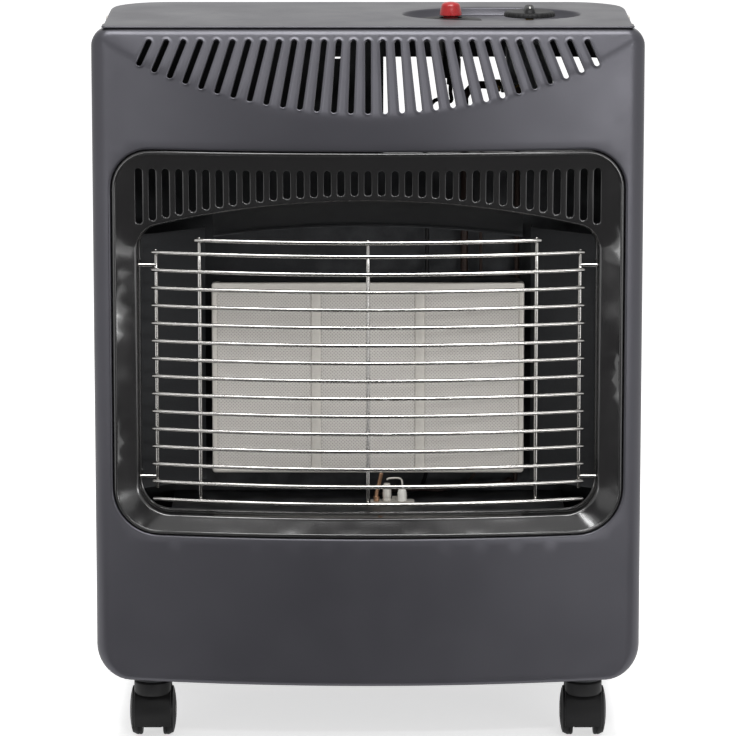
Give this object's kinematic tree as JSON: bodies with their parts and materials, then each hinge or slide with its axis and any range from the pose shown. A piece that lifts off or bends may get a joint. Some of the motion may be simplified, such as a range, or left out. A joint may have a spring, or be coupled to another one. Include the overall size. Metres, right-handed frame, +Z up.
{
  "type": "portable gas cabinet heater",
  "caption": "Bowed steel cabinet heater on twin-wheel casters, with a ceramic burner behind a wire guard, sloping louvres and top controls.",
  "frame": {"origin": "on the floor under the middle of the cabinet's box", "axes": "+Z up, +X to the right as seen from the front, +Y from the front to the back"},
  "size_m": [0.42, 0.39, 0.5695],
  "materials": {
    "graphite_paint": "satin dark graphite paint with a fine metallic grain",
    "black_enamel": "gloss black enamel",
    "dark_steel": "heat-darkened steel sheet",
    "bright_steel": "aluminised steel",
    "chrome_wire": "bright plated wire",
    "ceramic": "off-white fired ceramic",
    "black_plastic": "black moulded plastic",
    "red_plastic": "red moulded plastic",
    "brass": "machined brass",
    "copper": "bare copper tube",
    "die_cast": "die-cast metal"
  },
  "bodies": {
    "cabinet": {"front_panel": "graphite_paint", "top_panel": "graphite_paint", "left_side_panel": "graphite_paint", "right_side_panel": "graphite_paint", "base_panel": "graphite_paint", "heat_shield": "dark_steel", "burner_surround": "black_enamel", "wire_guard": "chrome_wire", "flue_hood": "dark_steel", "left_reflector": "dark_steel", "right_reflector": "dark_steel", "bottom_reflector": "dark_steel", "burner_frame": "bright_steel", "burner_housing": "dark_steel", "left_burner_bracket": "dark_steel", "right_burner_bracket": "dark_steel", "burner_injector": "brass", "burner_supply_pipe": "copper", "pilot_supply_pipe": "copper", "pilot_bracket": "bright_steel", "pilot_burner": "bright_steel", "thermocouple": "copper", "thermocouple_lead": "copper", "ignition_electrode": "ceramic", "ignition_lead": "black_plastic", "igniter_bezel": "black_plastic", "igniter_body": "black_plastic", "gas_valve_body": "die_cast", "inlet_nozzle": "brass", "left_plaque": "ceramic", "centre_plaque": "ceramic", "right_plaque": "ceramic", "front_left_caster_stem": "die_cast", "rear_left_caster_stem": "die_cast", "front_right_caster_stem": "die_cast", "rear_right_caster_stem": "die_cast"},
    "cover": {"rear_cover": "graphite_paint"},
    "valve_push": {"valve_plunger": "brass"},
    "knob": {"valve_spindle": "brass", "control_knob": "black_plastic"},
    "button": {"igniter_button": "red_plastic"},
    "front_left_caster_fork": {"front_left_caster_hood": "black_plastic", "front_left_caster_axle": "bright_steel"},
    "front_left_caster_left_roll": {"front_left_caster_left_wheel": "black_plastic"},
    "front_left_caster_right_roll": {"front_left_caster_right_wheel": "black_plastic"},
    "rear_left_caster_fork": {"rear_left_caster_hood": "black_plastic", "rear_left_caster_axle": "bright_steel"},
    "rear_left_caster_left_roll": {"rear_left_caster_left_wheel": "black_plastic"},
    "rear_left_caster_right_roll": {"rear_left_caster_right_wheel": "black_plastic"},
    "front_right_caster_fork": {"front_right_caster_hood": "black_plastic", "front_right_caster_axle": "bright_steel"},
    "front_right_caster_left_roll": {"front_right_caster_left_wheel": "black_plastic"},
    "front_right_caster_right_roll": {"front_right_caster_right_wheel": "black_plastic"},
    "rear_right_caster_fork": {"rear_right_caster_hood": "black_plastic", "rear_right_caster_axle": "bright_steel"},
    "rear_right_caster_left_roll": {"rear_right_caster_left_wheel": "black_plastic"},
    "rear_right_caster_right_roll": {"rear_right_caster_right_wheel": "black_plastic"}
  },
  "joints": [
    {"name": "rear_cover_lift", "type": "slide", "parent": "cabinet", "child": "cover", "axis": [0, 0, 1], "range_m": [0, 0.025]},
    {"name": "valve_press", "type": "slide", "parent": "cabinet", "child": "valve_push", "axis": [0, 0, -1], "range_m": [0, 0.004], "stiffness_N_per_m": 1500, "springref_m": -0.003},
    {"name": "knob_turn", "type": "hinge", "parent": "valve_push", "child": "knob", "pos_m": [0.125, -0.0795, 0.56], "axis": [0, 0, 1], "range_deg": [0, 240]},
    {"name": "button_press", "type": "slide", "parent": "cabinet", "child": "button", "axis": [0, 0, -1], "range_m": [0, 0.006], "stiffness_N_per_m": 1500, "springref_m": -0.003},
    {"name": "front_left_caster_swivel", "type": "hinge", "parent": "cabinet", "child": "front_left_caster_fork", "pos_m": [-0.168, -0.145, 0.045], "axis": [0, 0, 1], "continuous": true},
    {"name": "front_left_caster_left_spin", "type": "hinge", "parent": "front_left_caster_fork", "child": "front_left_caster_left_roll", "pos_m": [-0.181, -0.133, 0.02], "axis": [1, 0, 0], "continuous": true},
    {"name": "front_left_caster_right_spin", "type": "hinge", "parent": "front_left_caster_fork", "child": "front_left_caster_right_roll", "pos_m": [-0.155, -0.133, 0.02], "axis": [1, 0, 0], "continuous": true},
    {"name": "rear_left_caster_swivel", "type": "hinge", "parent": "cabinet", "child": "rear_left_caster_fork", "pos_m": [-0.168, 0.143, 0.045], "axis": [0, 0, 1], "continuous": true},
    {"name": "rear_left_caster_left_spin", "type": "hinge", "parent": "rear_left_caster_fork", "child": "rear_left_caster_left_roll", "pos_m": [-0.181, 0.155, 0.02], "axis": [1, 0, 0], "continuous": true},
    {"name": "rear_left_caster_right_spin", "type": "hinge", "parent": "rear_left_caster_fork", "child": "rear_left_caster_right_roll", "pos_m": [-0.155, 0.155, 0.02], "axis": [1, 0, 0], "continuous": true},
    {"name": "front_right_caster_swivel", "type": "hinge", "parent": "cabinet", "child": "front_right_caster_fork", "pos_m": [0.168, -0.145, 0.045], "axis": [0, 0, 1], "continuous": true},
    {"name": "front_right_caster_left_spin", "type": "hinge", "parent": "front_right_caster_fork", "child": "front_right_caster_left_roll", "pos_m": [0.155, -0.133, 0.02], "axis": [1, 0, 0], "continuous": true},
    {"name": "front_right_caster_right_spin", "type": "hinge", "parent": "front_right_caster_fork", "child": "front_right_caster_right_roll", "pos_m": [0.181, -0.133, 0.02], "axis": [1, 0, 0], "continuous": true},
    {"name": "rear_right_caster_swivel", "type": "hinge", "parent": "cabinet", "child": "rear_right_caster_fork", "pos_m": [0.168, 0.143, 0.045], "axis": [0, 0, 1], "continuous": true},
    {"name": "rear_right_caster_left_spin", "type": "hinge", "parent": "rear_right_caster_fork", "child": "rear_right_caster_left_roll", "pos_m": [0.155, 0.155, 0.02], "axis": [1, 0, 0], "continuous": true},
    {"name": "rear_right_caster_right_spin", "type": "hinge", "parent": "rear_right_caster_fork", "child": "rear_right_caster_right_roll", "pos_m": [0.181, 0.155, 0.02], "axis": [1, 0, 0], "continuous": true}
  ]
}
